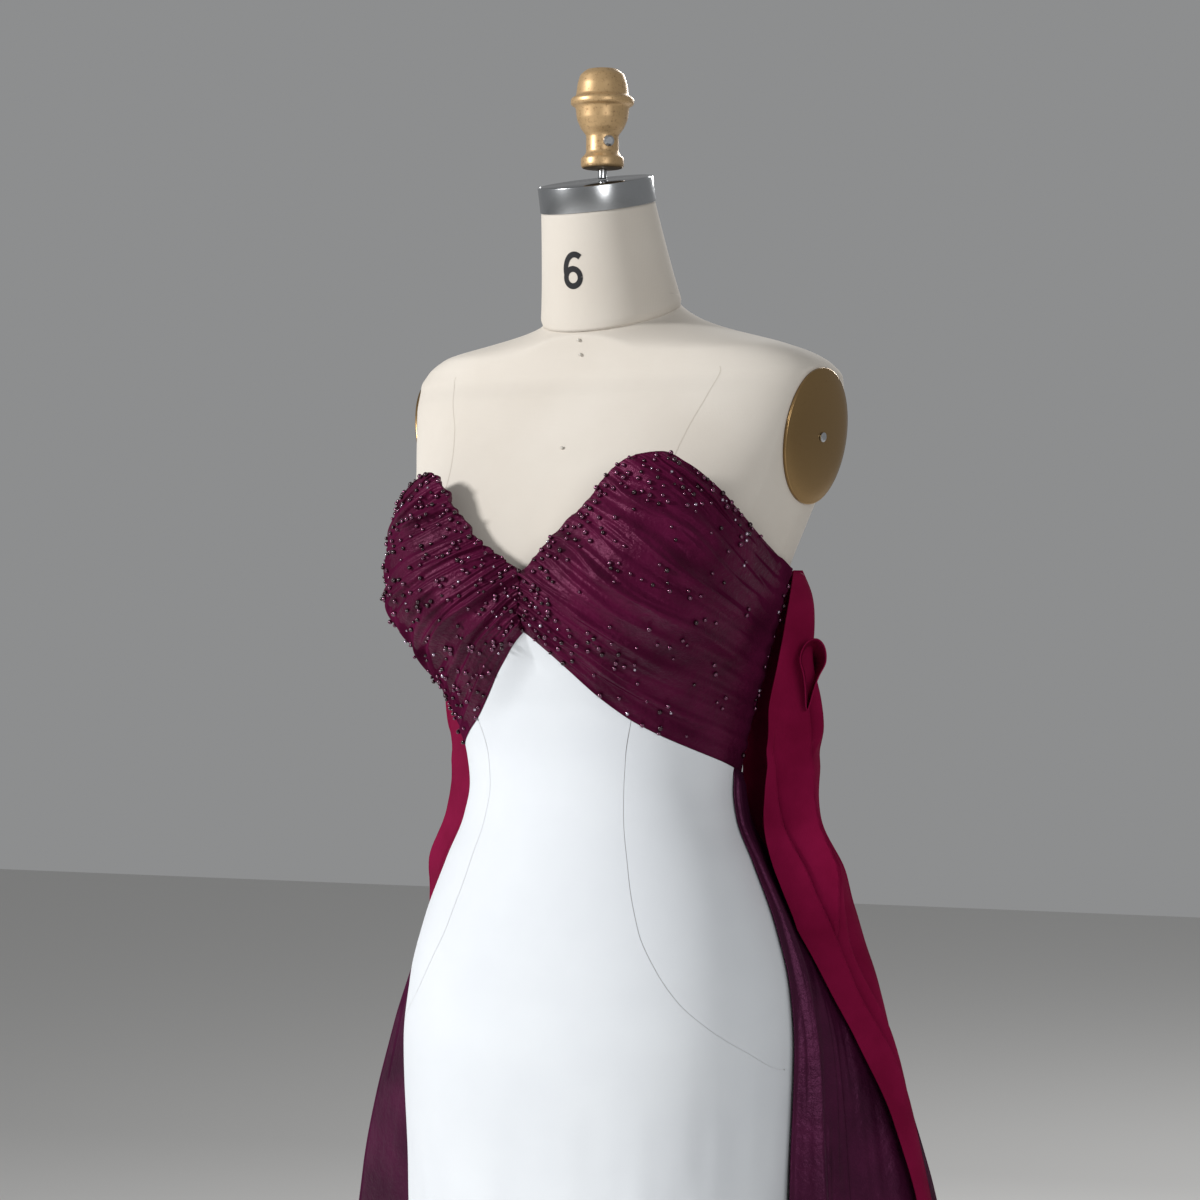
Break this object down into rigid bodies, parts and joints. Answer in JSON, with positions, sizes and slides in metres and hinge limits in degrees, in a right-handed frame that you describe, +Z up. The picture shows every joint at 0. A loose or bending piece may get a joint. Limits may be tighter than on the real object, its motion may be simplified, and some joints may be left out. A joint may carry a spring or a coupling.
{
  "type": "maxi dress on a limbless dress form",
  "caption": "Strapless floor-length evening dress, ruched beaded bodice, white sheath, plum overskirt and crimson side drapes, on a dress form with a round stand.",
  "frame": {"origin": "centre of the stand's flat underside, on the floor", "axes": "+Z up the form, +X to the wearer's left, -Y to the front"},
  "size_m": [0.8578, 0.8136, 1.6568],
  "materials": {
    "linen": "matt cream linen over a moulded form",
    "satin": "soft satin sheen",
    "crepe": "matt heavy crepe",
    "taffeta": "crisp low sheen",
    "crimson": "soft matt",
    "steel": "brushed",
    "polished": "polished",
    "gold": "satin, antique gold",
    "wood": "pale varnished",
    "zinc": "zinc plated, satin",
    "iron": "black, satin"
  },
  "bodies": {
    "dress_and_form": {"form_torso": "linen", "neck_cap_band": "steel", "neck_cap_plate": "polished", "finial_rod": "steel", "finial": "wood", "finial_set_screw": "zinc", "form_pole": "steel", "form_base": "iron", "arm_plate_left": "gold", "arm_plate_screw_left": "zinc", "bodice_front_left": "satin", "bodice_back_left": "satin", "sheath_side_front_left": "crepe", "sheath_back_left": "crepe", "overskirt_left": "taffeta", "drape_left": "crimson", "arm_plate_right": "gold", "arm_plate_screw_right": "zinc", "bodice_front_right": "satin", "bodice_back_right": "satin", "sheath_side_front_right": "crepe", "sheath_back_right": "crepe", "overskirt_right": "taffeta", "drape_right": "crimson", "sheath_front": "crepe", "zip": "satin", "zip_slider": "zinc"},
    "zip_pull": {"zip_pull_tab": "zinc"}
  },
  "joints": [
    {"name": "zip_pull_swing", "type": "hinge", "parent": "dress_and_form", "child": "zip_pull", "pos_m": [0, 0.12036, 1.224], "axis": [1, 0, 0], "range_deg": [0, 150]}
  ]
}
